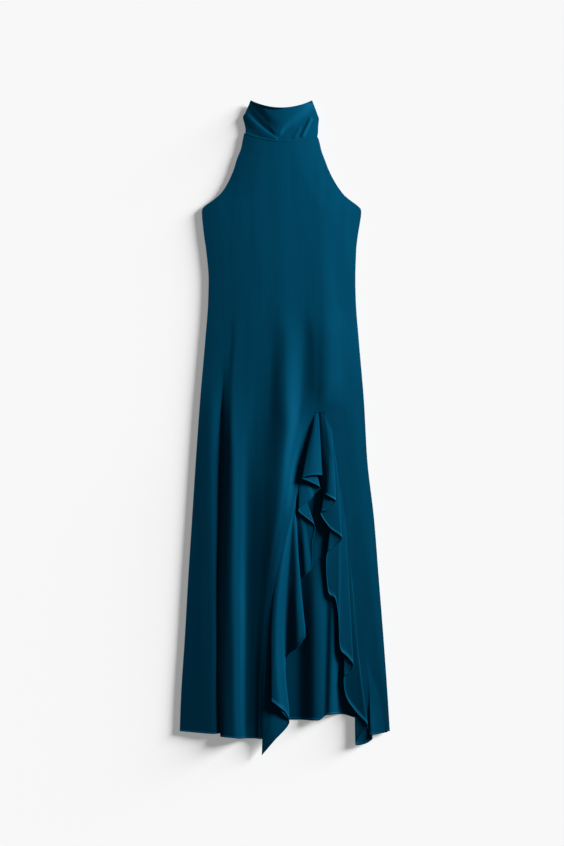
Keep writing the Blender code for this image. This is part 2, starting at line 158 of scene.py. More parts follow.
key_elevation = math.radians(KEY_ELEVATION)
key_turn = math.radians(KEY_TURN)
towards_key = Vector((
    math.cos(key_elevation) * math.cos(key_turn),
    math.cos(key_elevation) * math.sin(key_turn),
    math.sin(key_elevation),
))
dress = bpy.data.collections.new("Dress")
boards = bpy.data.collections.new("Boards")
boards.objects.link(floor)
lamp(
    "Key", "POINT", dress,
    {"energy": KEY_POWER, "shadow_soft_size": KEY_RADIUS},
    KEY_AWAY * towards_key, turn_from(KEY_ELEVATION),
)
lamp(
    "Board key", "SUN", boards,
    {"energy": BOARD_KEY_STRENGTH, "angle": math.radians(BOARD_KEY_SOFTNESS)},
    towards_key, turn_from(BOARD_KEY_ELEVATION),
)
room = bpy.data.worlds.new("Room")
room.use_nodes = True
room_light = room.node_tree.nodes["Background"].inputs
room_light["Color"].default_value = linear("FFFFFF")
room_light["Strength"].default_value = ROOM_STRENGTH
bpy.context.scene.world = room
bpy.context.scene.view_settings.view_transform = "Standard"


# Cloth of the whole dress
# Satin-faced polyester jersey in petrol blue, knitted with a smooth face. It gives broad, soft
# highlights along the folds and goes nearly black in their shade.
CLOTH_THICK = 0.9
JERSEY_MID = "024B69"
JERSEY_DEEP = "02425E"
JERSEY_GLEAM = "0A78A0"
SATIN_ROUGHNESS = 0.42
# The real wales are about a third of this apart and the courses a fifth. Both are drawn coarser,
# so that the grain shows.
WALE_MM = 1.8
COURSE_MM = 2.6
GRAIN_STRENGTH = 0.35
GRAIN_DEPTH_MM = 0.12
SHADE_WIDE_MM = 32.0
SHADE_LONG_MM = 160.0
STREAK_WIDE_MM = 34.0
STREAK_LONG_MM = 420.0
STREAK_DEPTH_MM = 0.6
MM_A_METRE = 1000.0
WAVE_RADIANS = 20.0


def wave_scale(pitch):
    """The scale at which the wave texture, 20 radians a metre at scale 1, has this pitch in mm."""
    return 2 * math.pi / WAVE_RADIANS * MM_A_METRE / pitch


def jersey(name, mid, deep, gleam, rough, grain):
    """Satin jersey: fine wales and courses, soft streaks and clouds of tone, a tinted gleam."""
    material = new_material(name)
    place = add_node(material, "ShaderNodeTexCoord")
    stretched = add_node(
        material,
        "ShaderNodeMapping",
        {"Scale": [MM_A_METRE / size for size in (SHADE_WIDE_MM, SHADE_LONG_MM, SHADE_LONG_MM)]},
        {"Vector": (place, "Object")},
    )
    clouds = add_node(
        material,
        "ShaderNodeTexNoise",
        {"Scale": 1.0, "Detail": 3.0, "Roughness": 0.5},
        {"Vector": (stretched, 0)},
    )
    tone = add_node(
        material,
        "ShaderNodeMix",
        {"data_type": "RGBA", 6: linear(deep), 7: linear(mid)},
        {0: (clouds, "Fac")},
    )
    wales = add_node(
        material,
        "ShaderNodeTexWave",
        {
            "wave_type": "BANDS", "bands_direction": "X", "Scale": wave_scale(WALE_MM),
            "Distortion": 0.6, "Detail": 1.0,
        },
        {"Vector": (place, "Object")},
    )
    courses = add_node(
        material,
        "ShaderNodeTexWave",
        {
            "wave_type": "BANDS", "bands_direction": "Y", "Scale": wave_scale(COURSE_MM),
            "Distortion": 0.8, "Detail": 1.0,
        },
        {"Vector": (place, "Object")},
    )
    knit = add_node(
        material,
        "ShaderNodeMath",
        {"operation": "MULTIPLY"},
        {0: (wales, "Fac"), 1: (courses, "Fac")},
    )
    hung = add_node(
        material,
        "ShaderNodeMapping",
        {"Scale": (MM_A_METRE / STREAK_WIDE_MM, MM_A_METRE / STREAK_LONG_MM, 1.0)},
        {"Vector": (place, "Object")},
    )
    streaks = add_node(
        material,
        "ShaderNodeTexNoise",
        {"Scale": 1.0, "Detail": 2.0, "Roughness": 0.45},
        {"Vector": (hung, 0)},
    )
    drape = add_node(
        material,
        "ShaderNodeBump",
        {"Strength": 1.0, "Distance": STREAK_DEPTH_MM * MM},
        {"Height": (streaks, "Fac")},
    )
    surface = add_node(
        material,
        "ShaderNodeBump",
        {"Strength": grain, "Distance": GRAIN_DEPTH_MM * MM},
        {"Height": (knit, 0), "Normal": (drape, 0)},
    )
    shader = add_node(
        material,
        "ShaderNodeBsdfPrincipled",
        {
            "Roughness": rough,
            "IOR": 1.5,
            "Specular IOR Level": 0.1,
            "Specular Tint": linear(gleam),
            "Sheen Weight": 0.3,
            "Sheen Roughness": 0.35,
            "Sheen Tint": linear(gleam),
        },
        {"Base Color": (tone, 2), "Normal": (surface, 0)},
    )
    finish_material(material, shader)
    return material


satin_face = jersey(
    "Satin-faced jersey", JERSEY_MID, JERSEY_DEEP, JERSEY_GLEAM, SATIN_ROUGHNESS, GRAIN_STRENGTH,
)


# Back panel
# One long panel of the jersey from neck seam to hem, cut away at the armholes and flared in the
# skirt. It lies flat on the board, and its folds show through the slit of the front.

# All sizes of the cloth are in millimetres, across the dress to the right and along it upwards.
# Outline of both panels. Columns: height along the dress, left edge, right edge
SIDES = [
    (688, -95, 77), (680, -97, 80), (649, -103, 87), (626, -112, 95), (602, -120, 104),
    (579, -131, 116), (555, -146, 132), (543, -157, 142), (532, -171, 156), (520, -188, 172),
    (510, -195, 180), (452, -190, 172), (417, -185, 168), (346, -179, 166), (299, -180, 167),
    (205, -187, 174), (64, -199, 186), (-77, -209, 194), (-218, -218, 210), (-359, -227, 221),
    (-500, -235, 232), (-641, -244, 242), (-722, -247, 247),
]
NECK_MIDDLE_X = 3
NECK_MIDDLE_Y = 671
NECK_END_Y = 688
NECK_HALF_WIDTH = 90
NECK_FADE_Y = 560
SLIT_TOP_Y = 36
HEM_Y = -722
SEAM_LAP = 0.3
BACK_BOTTOM_Y = -711
BACK_HEM_FADE_Y = -250
BACK_INSET = 1.2
BACK_EDGE_SHARE = 0.04
BACK_EDGE_LIFT = 4.6
BACK_THICK = 1.0
# Columns: place of the crest at the slit's top and at the hem, height, width to its left and right
BACK_FOLDS = [
    (72, 74, 12.5, 43, 58),
    (124, 108, 7.4, 16, 26),
    (-60, -70, 3.0, 40, 34),
]
BACK_FOLD_TOP = -150
BACK_FOLD_FULL = -480
# Columns: place across, height of the hem along the dress
BACK_HEM = [
    (-247, -711), (-150, -702), (12, -687), (78, -688),
    (100, -675), (132, -674), (163, -682), (247, -711),
]
BACK_FINE_Y = -200
BACK_ROWS = 150
BACK_COLUMNS = 130
# A rolled hem from its stitches to its edge. Columns: place in hem widths, rise in millimetres
HEM_ROLL = [(-0.90, 0.0), (-0.72, 0.6), (-0.42, 0.9), (-0.12, 0.6), (0.0, -0.3)]
HEM_WIDE = 3.6


def monotone(x, y, at):
    """Cubic pieces through the points, with slopes that keep each stretch between its ends."""
    step = np.diff(x)
    rise = (np.diff(y, axis=0).T / step).T
    slope = np.zeros_like(y)
    left, right = rise[:-1], rise[1:]
    same_way = left * right > 0
    slope[1:-1] = np.where(same_way, 2 * left * right / np.where(same_way, left + right, 1.0), 0.0)
    slope[0], slope[-1] = rise[0], rise[-1]
    at = np.clip(np.asarray(at, float), x[0], x[-1])
    piece = np.clip(np.searchsorted(x, at, side="right") - 1, 0, len(step) - 1)
    t = (at - x[piece]) / step[piece]
    h = step[piece]
    return (
        (1 + 2 * t) * (1 - t) ** 2 * y[piece]
        + t * (1 - t) ** 2 * h * slope[piece]
        + t * t * (3 - 2 * t) * y[piece + 1]
        + t * t * (t - 1) * h * slope[piece + 1]
    )


def through(stations, column, at):
    """A smooth curve through one column of a table, at any heights along its first column."""
    rows = sorted(stations)
    x = np.array([row[0] for row in rows], float)
    y = np.array([row[column] for row in rows], float)
    return monotone(x, y, at)


def fade(value, start, full):
    """A smooth change from 0 at the start to 1 where it is full."""
    t = np.clip((value - start) / (full - start), 0, 1)
    return t * t * (3 - 2 * t)


def bump(off):
    """A rounded ridge: 1 at its crest and 0 from one width away."""
    return np.cos(np.pi / 2 * np.clip(np.abs(off), 0, 1)) ** 2


def neck_seam(x):
    """Height of the neck seam along the dress: an arc that dips in the middle."""
    out = (x - NECK_MIDDLE_X) / NECK_HALF_WIDTH
    return NECK_MIDDLE_Y + (NECK_END_Y - NECK_MIDDLE_Y) * out**2


def cloth_piece(
    name, grid, material, keep=None, closed=False, flip=False, offset=0.0, thick=CLOTH_THICK,
):
    """A thin shell on a grid of points in mm. A closed one joins its last column to its first."""
    rows, columns = grid.shape[:2]
    last = columns if closed else columns - 1
    faces = []
    for r in range(rows - 1):
        for c in range(last):
            if keep is not None and not keep[r, c]:
                continue
            d = (c + 1) % columns
            face = (r * columns + c, (r + 1) * columns + c, (r + 1) * columns + d, r * columns + d)
            faces.append(face[::-1] if flip else face)
    used = sorted({i for face in faces for i in face})
    place = {old: new for new, old in enumerate(used)}
    faces = [tuple(place[i] for i in face) for face in faces]
    mesh = bpy.data.meshes.new(name)
    mesh.from_pydata([tuple(p) for p in grid.reshape(-1, 3)[used] * MM], [], faces)
    mesh.update()
    mesh.shade_smooth()
    # Cut edges are sharp, so that the rim and the face of the cloth are shaded apart.
    around = np.zeros(len(mesh.loops), dtype=np.int32)
    mesh.loops.foreach_get("edge_index", around)
    cut_edges = np.bincount(around, minlength=len(mesh.edges)) == 1
    mesh.attributes.new("sharp_edge", "BOOLEAN", "EDGE").data.foreach_set("value", cut_edges)
    mesh.materials.append(material)
    piece = bpy.data.objects.new(name, mesh)
    bpy.context.scene.collection.objects.link(piece)
    dress.objects.link(piece)
    shell = piece.modifiers.new("Cloth thickness", "SOLIDIFY")
    shell.thickness = thick * MM
    shell.offset = offset
    shell.use_rim = True
    return piece


def with_hem(grid):
    """Rolls the last column of a grid into a hem, which is narrower where the last cell is."""
    out = grid[:, -1] - grid[:, -2]
    cell = np.linalg.norm(out, axis=-1, keepdims=True)
    out = out / cell
    narrowed = np.clip(cell / HEM_WIDE, 0, 1)
    up = np.array([0.0, 0.0, 1.0])
    roll = [
        grid[:, -1] + narrowed * (HEM_WIDE * place * out + rise * up)
        for place, rise in HEM_ROLL
    ]
    return np.concatenate([grid[:, :-1], np.stack(roll, axis=1)], axis=1)


def with_bottom_hem(grid):
    """Rolls the last row of a grid into a hem."""
    return np.swapaxes(with_hem(np.swapaxes(grid, 0, 1)), 0, 1)


def back_points(rows, shares):
    """The back at these heights along the dress and at these shares of its width."""
    points = np.zeros((len(rows), len(shares), 3))
    side_edges = fade(shares, BACK_EDGE_SHARE, 0) + fade(shares, 1 - BACK_EDGE_SHARE, 1)
    for r, y in enumerate(rows):
        left = through(SIDES, 1, y) + BACK_INSET
        right = through(SIDES, 2, y) - BACK_INSET
        x = left + shares * (right - left)
        z = BACK_EDGE_LIFT * side_edges
        down = (y - SLIT_TOP_Y) / (BACK_BOTTOM_Y - SLIT_TOP_Y)
        for top_x, hem_x, height, wide_left, wide_right in BACK_FOLDS:
            off = x - (top_x + (hem_x - top_x) * down)
            fold = bump(off / np.where(off < 0, wide_left, wide_right))
            z = z + height * fold * fade(y, BACK_FOLD_TOP, BACK_FOLD_FULL)
        neck = (neck_seam(x) + SEAM_LAP - NECK_END_Y) * fade(y, NECK_FADE_Y, NECK_END_Y)
        hem = (through(BACK_HEM, 1, x) - BACK_BOTTOM_Y) * fade(y, BACK_HEM_FADE_Y, BACK_BOTTOM_Y)
        points[r] = np.stack([x, y + neck + hem, z], axis=1)
    return points


back_rows = np.concatenate([
    np.linspace(NECK_END_Y, BACK_FINE_Y, BACK_ROWS // 2, endpoint=False),
    np.linspace(BACK_FINE_Y, BACK_BOTTOM_Y, BACK_ROWS // 2),
])
back_grid = with_bottom_hem(back_points(back_rows, np.linspace(0, 1, BACK_COLUMNS)))
back = cloth_piece("Back_panel", back_grid, satin_face, offset=1.0, thick=BACK_THICK)
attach(back, "root")
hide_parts("back_panel")


# Front panel
# The same panel of jersey for the front, sewn to the back down both sides and cut out in a tall
# upturned V for the slit. One deep fold runs down its left, lapped over at the hem, and a second
# falls onto the left flounce.

# Height of the plain cloth at the side seams, and how much more it has in the middle
EDGE_HEIGHT = 6.4
BODICE_RISE = 5.0
BODICE_FULL_Y = 299
SKIRT_RISE = 2.6
SKIRT_FULL_Y = 64
SIDE_ROUNDING = 2.2
FOLD_LIFT = 1.55
# Lines that the folds follow, from left to right, each with the height of the hem on it and its
# stations. Station columns: height along the dress, share of the width from the left, lift above
# the plain cloth
FRONT_LINES = {
    "left side": (-714, [(688, 0.0, 0), (-722, 0.0, 0)]),
    "left strip": (-720, [
        (688, 0.06, 0), (299, 0.06, 0), (205, 0.060, 0), (111, 0.070, 0.3), (17, 0.078, 1.4),
        (-77, 0.088, 1.8), (-171, 0.100, 2.0), (-359, 0.124, 2.2), (-547, 0.146, 2.4),
        (-722, 0.160, 2.4),
    ]),
    "fold foot": (-718, [
        (688, 0.12, 0), (299, 0.107, 0), (205, 0.116, 0), (111, 0.128, 0), (17, 0.134, -0.8),
        (-77, 0.144, -1.8), (-171, 0.155, -2.6), (-359, 0.174, -3.0), (-547, 0.190, -3.2),
        (-722, 0.206, -3.2),
    ]),
    "fold face": (-726, [
        (688, 0.15, 0), (299, 0.134, 0), (205, 0.139, 0), (111, 0.142, 0.3), (17, 0.144, 0.6),
        (-77, 0.148, 0.2), (-171, 0.153, 0.4), (-359, 0.160, 1.2), (-547, 0.174, 1.8),
        (-722, 0.194, 2.2),
    ]),
    "fold brow": (-727, [
        (688, 0.18, 0), (299, 0.165, 0), (205, 0.165, 0), (111, 0.162, 0.8), (17, 0.170, 2.6),
        (-77, 0.177, 3.6), (-171, 0.180, 4.2), (-359, 0.186, 4.8), (-547, 0.198, 5.0),
        (-722, 0.208, 5.0),
    ]),
    "fold crest": (-729, [
        (688, 0.22, 0), (299, 0.205, 0), (205, 0.202, 0.5), (111, 0.200, 1.6), (17, 0.204, 4.2),
        (-77, 0.217, 6.2), (-171, 0.222, 7.0), (-359, 0.230, 7.4), (-547, 0.246, 7.2),
        (-722, 0.258, 6.6),
    ]),
    "fold fall": (-731, [
        (688, 0.27, 0), (299, 0.256, 0), (205, 0.256, 0.3), (111, 0.256, 1.2), (17, 0.256, 3.0),
        (-77, 0.258, 4.4), (-171, 0.260, 4.8), (-359, 0.268, 4.6), (-547, 0.277, 4.2),
        (-722, 0.288, 3.8),
    ]),
    "first trough": (-731, [
        (688, 0.34, 0), (299, 0.324, 0), (205, 0.326, 0.2), (111, 0.326, 0.8), (17, 0.318, 2.0),
        (-77, 0.310, 2.4), (-171, 0.306, 2.0), (-265, 0.306, 1.0), (-359, 0.306, -0.6),
        (-453, 0.308, -1.6), (-547, 0.312, -2.0), (-722, 0.320, -2.2),
    ]),
    "second foot": (-731, [
        (688, 0.42, 0), (299, 0.42, 0), (205, 0.425, 0.2), (111, 0.420, 1.4), (17, 0.410, 3.0),
        (-77, 0.400, 4.0), (-171, 0.392, 4.8), (-265, 0.380, 3.8), (-359, 0.366, 1.7),
        (-453, 0.358, 0.4), (-547, 0.356, -0.4), (-722, 0.360, -1.2),
    ]),
    "second crest": (-732, [
        (688, 0.50, 0), (299, 0.50, 0.3), (205, 0.525, 2.2), (111, 0.520, 5.0), (17, 0.525, 7.6),
        (-77, 0.502, 7.6), (-171, 0.478, 8.4), (-265, 0.450, 7.6), (-359, 0.420, 4.8),
        (-453, 0.398, 3.1), (-547, 0.384, 2.2), (-722, 0.376, 0.6),
    ]),
    "second fall": (-732, [
        (688, 0.56, 0), (299, 0.63, -0.3), (205, 0.640, -0.4), (111, 0.630, -0.6),
        (50, 0.620, -0.4), (17, 0.605, 0.0), (-77, 0.557, 2.4), (-171, 0.520, 6.2),
        (-265, 0.475, 7.4), (-359, 0.438, 5.4), (-453, 0.410, 3.6), (-547, 0.394, 2.8),
        (-722, 0.385, 1.0),
    ]),
    "left seam": (-732, [
        (688, 0.62, 0), (299, 0.70, 0.2), (205, 0.715, 1.8), (111, 0.710, 1.8), (64, 0.706, 0.8),
        (33, 0.698, -0.8), (-20, 0.660, -3.0), (-77, 0.620, -3.0), (-147, 0.580, 0.2),
        (-218, 0.541, 5.0), (-277, 0.502, 6.2), (-352, 0.458, 5.8), (-406, 0.437, 4.8),
        (-500, 0.422, 3.8), (-594, 0.401, 3.2), (-722, 0.394, 1.6),
    ]),
    "right seam": (-715, [
        (688, 0.70, 0), (299, 0.78, 1.0), (205, 0.79, 3.4), (111, 0.78, 3.6), (64, 0.762, 1.8),
        (33, 0.757, -0.4), (-7, 0.800, -0.2), (-65, 0.815, 0), (-124, 0.826, 0), (-242, 0.846, 0),
        (-336, 0.857, 0), (-430, 0.866, 0), (-512, 0.894, 0), (-570, 0.918, -0.2),
        (-617, 0.945, -0.4), (-653, 0.965, -0.2), (-722, 0.985, 0),
    ]),
    "right strip": (-714, [
        (688, 0.84, 0), (299, 0.89, 0), (205, 0.90, 1.5), (64, 0.89, 0.5), (-124, 0.925, 0.4),
        (-336, 0.942, 0.6), (-512, 0.957, 0.4), (-653, 0.984, 0), (-722, 0.994, 0),
    ]),
    "right side": (-714, [(688, 1.0, 0), (-722, 1.0, 0)]),
}
FRONT_CELLS = 9
BODICE_ROWS = 86
SKIRT_ROWS = 174


def plain_height(share, y):
    """The cloth with no folds: low at the side seams and softly raised between them."""
    rise = SKIRT_RISE + (BODICE_RISE - SKIRT_RISE) * fade(y, SKIRT_FULL_Y, BODICE_FULL_Y)
    return EDGE_HEIGHT + rise * (1 - np.abs(2 * share - 1) ** SIDE_ROUNDING)


def front_points():
    """The front's points, and which of its cells are cloth and not the slit."""
    names = list(FRONT_LINES)
    spots = np.linspace(0, len(names) - 1, (len(names) - 1) * FRONT_CELLS + 1)
    order = np.arange(len(names), dtype=float)
    rows = np.concatenate([
        np.linspace(NECK_END_Y, SLIT_TOP_Y, BODICE_ROWS, endpoint=False),
        np.linspace(SLIT_TOP_Y, HEM_Y, SKIRT_ROWS),
    ])
    hems = monotone(order, np.array([hem for hem, _ in FRONT_LINES.values()], float), spots)
    shares = np.stack([through(stations, 1, rows) for _, stations in FRONT_LINES.values()], 1)
    lifts = np.stack([through(stations, 2, rows) for _, stations in FRONT_LINES.values()], 1)
    left, right = through(SIDES, 1, rows), through(SIDES, 2, rows)
    points = np.zeros((len(rows), len(spots), 3))
    for r, y in enumerate(rows):
        x = monotone(order, left[r] + shares[r] * (right[r] - left[r]), spots)
        z = monotone(order, plain_height(shares[r], y) + FOLD_LIFT * lifts[r], spots)
        neck = (neck_seam(x) + SEAM_LAP - NECK_END_Y) * fade(y, NECK_FADE_Y, NECK_END_Y)
        hem = (hems - HEM_Y) * fade(y, SLIT_TOP_Y, HEM_Y)
        points[r] = np.stack([x, y + neck + hem, z], axis=1)
    keep = np.ones((len(rows) - 1, len(spots) - 1), bool)
    left_seam = names.index("left seam") * FRONT_CELLS
    keep[rows[:-1] <= SLIT_TOP_Y, left_seam : left_seam + FRONT_CELLS] = False
    points = with_bottom_hem(points)
    return points, np.vstack([keep, np.repeat(keep[-1:], len(points) - len(rows), axis=0)])


front_grid, front_keep = front_points()
front = cloth_piece("Front_panel", front_grid, satin_face, keep=front_keep)
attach(front, "root")
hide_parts("front_panel")


# Flounces
# Two strips of the jersey cut in curves, so that their outer edges are far longer than the edges
# sewn to the slit. They fall in rolling folds, laid over each other down the opening.

# A key for each fold and each run between folds. Columns: place along the seam where it starts,
# place across and along of the hem there, height of the hem, how far its middle bows to the right,
# and its layer, counted up from the lowest run
LEFT_FLOUNCE = [
    (38, 88, -113, 10.5, 0, 4.3), (34, 73, -112, 14.5, 0, 4.0), (31, 57, -114, 16.5, 0, 4.0),
    (8, 40, -120, 15.5, 0, 3.5), (-14, 62, -130, 13.5, 0, 3.0), (-36, 83, -142, 9.5, 1, 2.5),
    (-58, 70, -156, 7.5, 0, 2.2), (-78, 60, -170, 11.0, 0, 2.0), (-104, 32, -194, 13.0, 0, 1.5),
    (-114, 52, -214, 11.5, 0, 1.0), (-124, 71, -234, 9.5, 1, 0.5), (-132, 64, -275, 9.0, 2, 0.2),
    (-140, 64, -327, 9.0, 2, 0.0), (-146, 49, -346, 11.5, 3, 0.0), (-152, 36, -366, 4.5, 1, -0.4),
    (-158, 36, -420, 4.0, -1, 0.6), (-164, 49, -482, 10.5, -3, 1.6),
    (-172, 43, -499, 14.0, -2, 1.8), (-182, 29, -518, 14.5, -1, 2.0),
    (-192, 6, -540, 4.0, -2, 2.4), (-202, 2, -600, 4.5, -8, 3.0), (-216, 12, -679, 9.0, -20, 3.6),
    (-250, 0, -668, 14.5, -17, 4.0), (-320, -14, -656, 21.0, -9, 4.0),
    (-430, -31, -643, 21.0, 0, 3.2), (-490, -4, -672, 15.0, 0, 1.8),
    (-540, 10, -696, 8.5, 1, 1.0), (-600, -24, -735, 13.5, 0, 0.4),
    (-720, -54, -770, 12.0, 0, 0.2),
]
RIGHT_FLOUNCE = [
    (38, 85, -152, 3.5, 0, 4.3), (28, 102, -162, 13.5, 6, 4.0), (4, 120, -175, 11.5, 2, 3.5),
    (-14, 102, -194, 11.5, 0, 3.0), (-32, 84, -203, 10.0, 0, 2.5), (-50, 106, -237, 12.0, 0, 2.0),
    (-70, 134, -260, 11.5, 0, 1.5), (-84, 116, -283, 9.5, 0, 1.0), (-98, 98, -303, 9.5, 0, 0.5),
    (-112, 102, -386, 12.0, 0, 0.0), (-126, 118, -402, 13.0, 0, 0.0),
    (-142, 126, -445, 14.0, 0, 0.3), (-160, 130, -518, 13.5, 0, 1.2),
    (-180, 146, -538, 11.5, 0, 2.2), (-204, 161, -559, 9.0, 0, 2.2),
    (-226, 151, -578, 8.5, 0, 1.6), (-246, 139, -590, 8.0, 0, 0.9),
    (-270, 145, -636, 7.5, 0, 0.5), (-306, 170, -672, 9.0, -2, 1.2),
    (-350, 195, -700, 10.0, -4, 1.6), (-400, 181, -718, 8.5, -3, 1.0),
    (-450, 166, -745, 7.0, -2, 0.3), (-500, 188, -744, 6.5, 0, -0.3),
    (-545, 206, -732, 6.0, 0, 0.2), (-580, 200, -724, 7.5, 0, 1.0),
    (-630, 218, -721, 7.0, 0, 1.0), (-719, 242, -716, 5.5, 0, 1.0),
]
FLOUNCE_STEPS = 3
FLOUNCE_CELLS = 6
FLOUNCE_FLARE = 0.85
FLOUNCE_LAP = 0.2
FLOUNCE_FINER = 4
# Round the top of the slit the seam is an arch. There a flounce starts further in, further up the
# dress and a little deeper under the front
SEAM_TOP_Y = 34
ARCH_START_Y = 30
ARCH_END_Y = 38
ARCH_IN = 9.5
ARCH_UP = 6.0
ARCH_SINK = 0.6
# A run lies this far above a lower one that it covers, if the two are more than so many steps
# apart along the seam. They lie the whole pitch apart from the second number of steps on
LAYER_PITCH = 1.5
TURN_STEPS = 1.2
FULL_STEPS = 1.7
# Layers closer than this count as one. A cell covers points up to this margin outside it, and
# a cell that is seen as a sliver covers nothing
LAYER_APART = 0.05
COVER_MARGIN = 0.05
SLIVER = 0.5
# Runs are lifted in rounds, by this share of what is missing and by this much at most. All but
# the last rounds are softened
LIFT_ROUNDS = 60
LIFT_SHARE = 0.7
LIFT_MOST = 1.0
SOFT_ROUNDS = 42
SOFT_SHARE = 0.12
# The heights beside the seam are softened once more at the end
SEAM_SOFT_ROUNDS = 3
SEAM_SOFT_COLUMNS = 4
SEAM_SOFT_SHARE = 0.25


def loose(keys, steps):
    """A rounded curve (Catmull-Rom) through every key, with as many steps between any two."""
    keys = np.asarray(keys, float)
    count = len(keys)
    spots = np.linspace(0, count - 1, (count - 1) * steps + 1)
    ends = np.concatenate([2 * keys[:1] - keys[1:2], keys, 2 * keys[-1:] - keys[-2:-1]])
    piece = np.minimum(spots.astype(int), count - 2)
    t = (spots - piece).reshape((-1,) + (1,) * (keys.ndim - 1))
    a, b, c, d = (ends[piece + k] for k in range(4))
    square, cube = 2 * a - 5 * b + 4 * c - d, 3 * b - a - 3 * c + d
    return 0.5 * (2 * b + (c - a) * t + square * t**2 + cube * t**3)


def seam_at(name, y):
    """Points of the front panel's slit edge at these heights along the dress."""
    hem, stations = FRONT_LINES[name]
    share = through(stations, 1, y)
    left, right = through(SIDES, 1, y), through(SIDES, 2, y)
    drop = (hem - HEM_Y) * fade(y, SLIT_TOP_Y, HEM_Y)
    z = plain_height(share, y) + FOLD_LIFT * through(stations, 2, y)
    return np.stack([left + share * (right - left), y + drop, z], axis=-1)


def curving(values):
    """How far each inner value lies from the middle of its two neighbours, twice over."""
    return values[2:] + values[:-2] - 2 * values[1:-1]


def in_order(points, layers):
    """Lifts the points of a folded sheet until each run clears the runs that lie under it."""
    rows, columns = points.shape[:2]
    index = np.arange(rows * columns).reshape(rows, columns)
    near, far = index[:-1], index[1:]
    corners = np.concatenate([
        np.stack([near[:, :-1], far[:, :-1], far[:, 1:]], -1).reshape(-1, 3),
        np.stack([near[:, :-1], far[:, 1:], near[:, 1:]], -1).reshape(-1, 3),
    ])
    flat = points.reshape(-1, 3)
    layer = np.repeat(layers, columns)
    a, b, c = (flat[corners[:, k], :2] for k in range(3))
    area = (b[:, 0] - a[:, 0]) * (c[:, 1] - a[:, 1]) - (b[:, 1] - a[:, 1]) * (c[:, 0] - a[:, 0])
    broad = np.abs(area) > SLIVER
    area = np.where(broad, area, 1.0)
    dx = flat[:, None, 0] - a[None, :, 0]
    dy = flat[:, None, 1] - a[None, :, 1]
    second = (dx * (c - a)[:, 1] - dy * (c - a)[:, 0]) / area
    third = (dy * (b - a)[:, 0] - dx * (b - a)[:, 1]) / area
    shares = np.stack([1 - second - third, second, third], -1)
    apart = layer[:, None] - layer[corners].mean(1)[None, :]
    row = np.repeat(np.arange(rows), columns)
    steps = np.abs(row[:, None] - row[corners].mean(1)[None, :])
    covers = (shares.min(-1) > -COVER_MARGIN) & broad[None, :]
    point, cell = np.nonzero(covers & (steps > TURN_STEPS) & (np.abs(apart) > LAYER_APART))
    share = shares[point, cell]
    over = apart[point, cell] > 0
    down = np.tile(np.linspace(0, 1, columns), rows)
    wanted = LAYER_PITCH * np.clip(steps[point, cell] / FULL_STEPS, 0, 1) * down[point]
    z = flat[:, 2].copy()
    for turn in range(LIFT_ROUNDS):
        height = (share * z[corners[cell]]).sum(1)
        short = np.clip(wanted - np.where(over, z[point] - height, height - z[point]), 0, None)
        lift = np.zeros_like(z)
        np.maximum.at(lift, point[over], short[over])
        np.maximum.at(lift, corners[cell[~over]], short[~over, None])
        z += np.minimum(LIFT_SHARE * lift, LIFT_MOST)
        if turn < SOFT_ROUNDS:
            grid = (z - flat[:, 2]).reshape(rows, columns)
            soft = grid.copy()
            soft[1:-1, 1:] += SOFT_SHARE * curving(grid[:, 1:])
            soft[:, 1:-1] += SOFT_SHARE * curving(grid.T).T
            soft[:, 0] = 0
            z = flat[:, 2] + soft.reshape(-1)
    lifted = points.copy()
    lifted[..., 2] = z.reshape(rows, columns)
    lifted[:, 0, 2] = points[:, 0, 2]
    return lifted


def flounce_points(keys, seam_name, side):
    """A flounce from its seam to its hem. Its keys fan out, so its outer edge folds on itself."""
    table = loose(keys, FLOUNCE_STEPS)
    seam = seam_at(seam_name, np.minimum(table[:, 0], SEAM_TOP_Y))
    arch = fade(table[:, 0], ARCH_START_Y, ARCH_END_Y)
    seam[:, 0] += side * (ARCH_IN * arch - FLOUNCE_LAP)
    seam[:, 1] += ARCH_UP * arch
    seam[:, 2] -= ARCH_SINK * arch
    hem = table[:, 1:4]
    down = np.linspace(0, 1, FLOUNCE_CELLS + 1)
    points = np.zeros((len(table), len(down), 3))
    for c, v in enumerate(down):
        points[:, c] = seam + (hem - seam) * v
        points[:, c, 0] += table[:, 4] * 4 * v * (1 - v)
        points[:, c, 2] = seam[:, 2] + (hem[:, 2] - seam[:, 2]) * v**FLOUNCE_FLARE
    points = in_order(points, table[:, 5])
    near_seam = points[:, 1:SEAM_SOFT_COLUMNS, 2]
    for _ in range(SEAM_SOFT_ROUNDS):
        near_seam[1:-1] += SEAM_SOFT_SHARE * curving(near_seam)
    points = loose(points, FLOUNCE_FINER)
    points = np.swapaxes(loose(np.swapaxes(points, 0, 1), FLOUNCE_FINER), 0, 1)
    return with_hem(points)


left_points = flounce_points(LEFT_FLOUNCE, "left seam", 1)
right_points = flounce_points(RIGHT_FLOUNCE, "right seam", -1)
flounce_left = cloth_piece("Flounce_left", left_points, satin_face)
flounce_right = cloth_piece("Flounce_right", right_points, satin_face, flip=True)
for piece, node, area in (
    (flounce_left, "flounce_left", 0.062),
    (flounce_right, "flounce_right", 0.066),
):
    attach(piece, "root")
    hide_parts(node)


# Collar
# A stand collar: a soft tube of the same jersey, sewn to the neck of both panels and let fall in
# draped folds that meet at its lower middle.

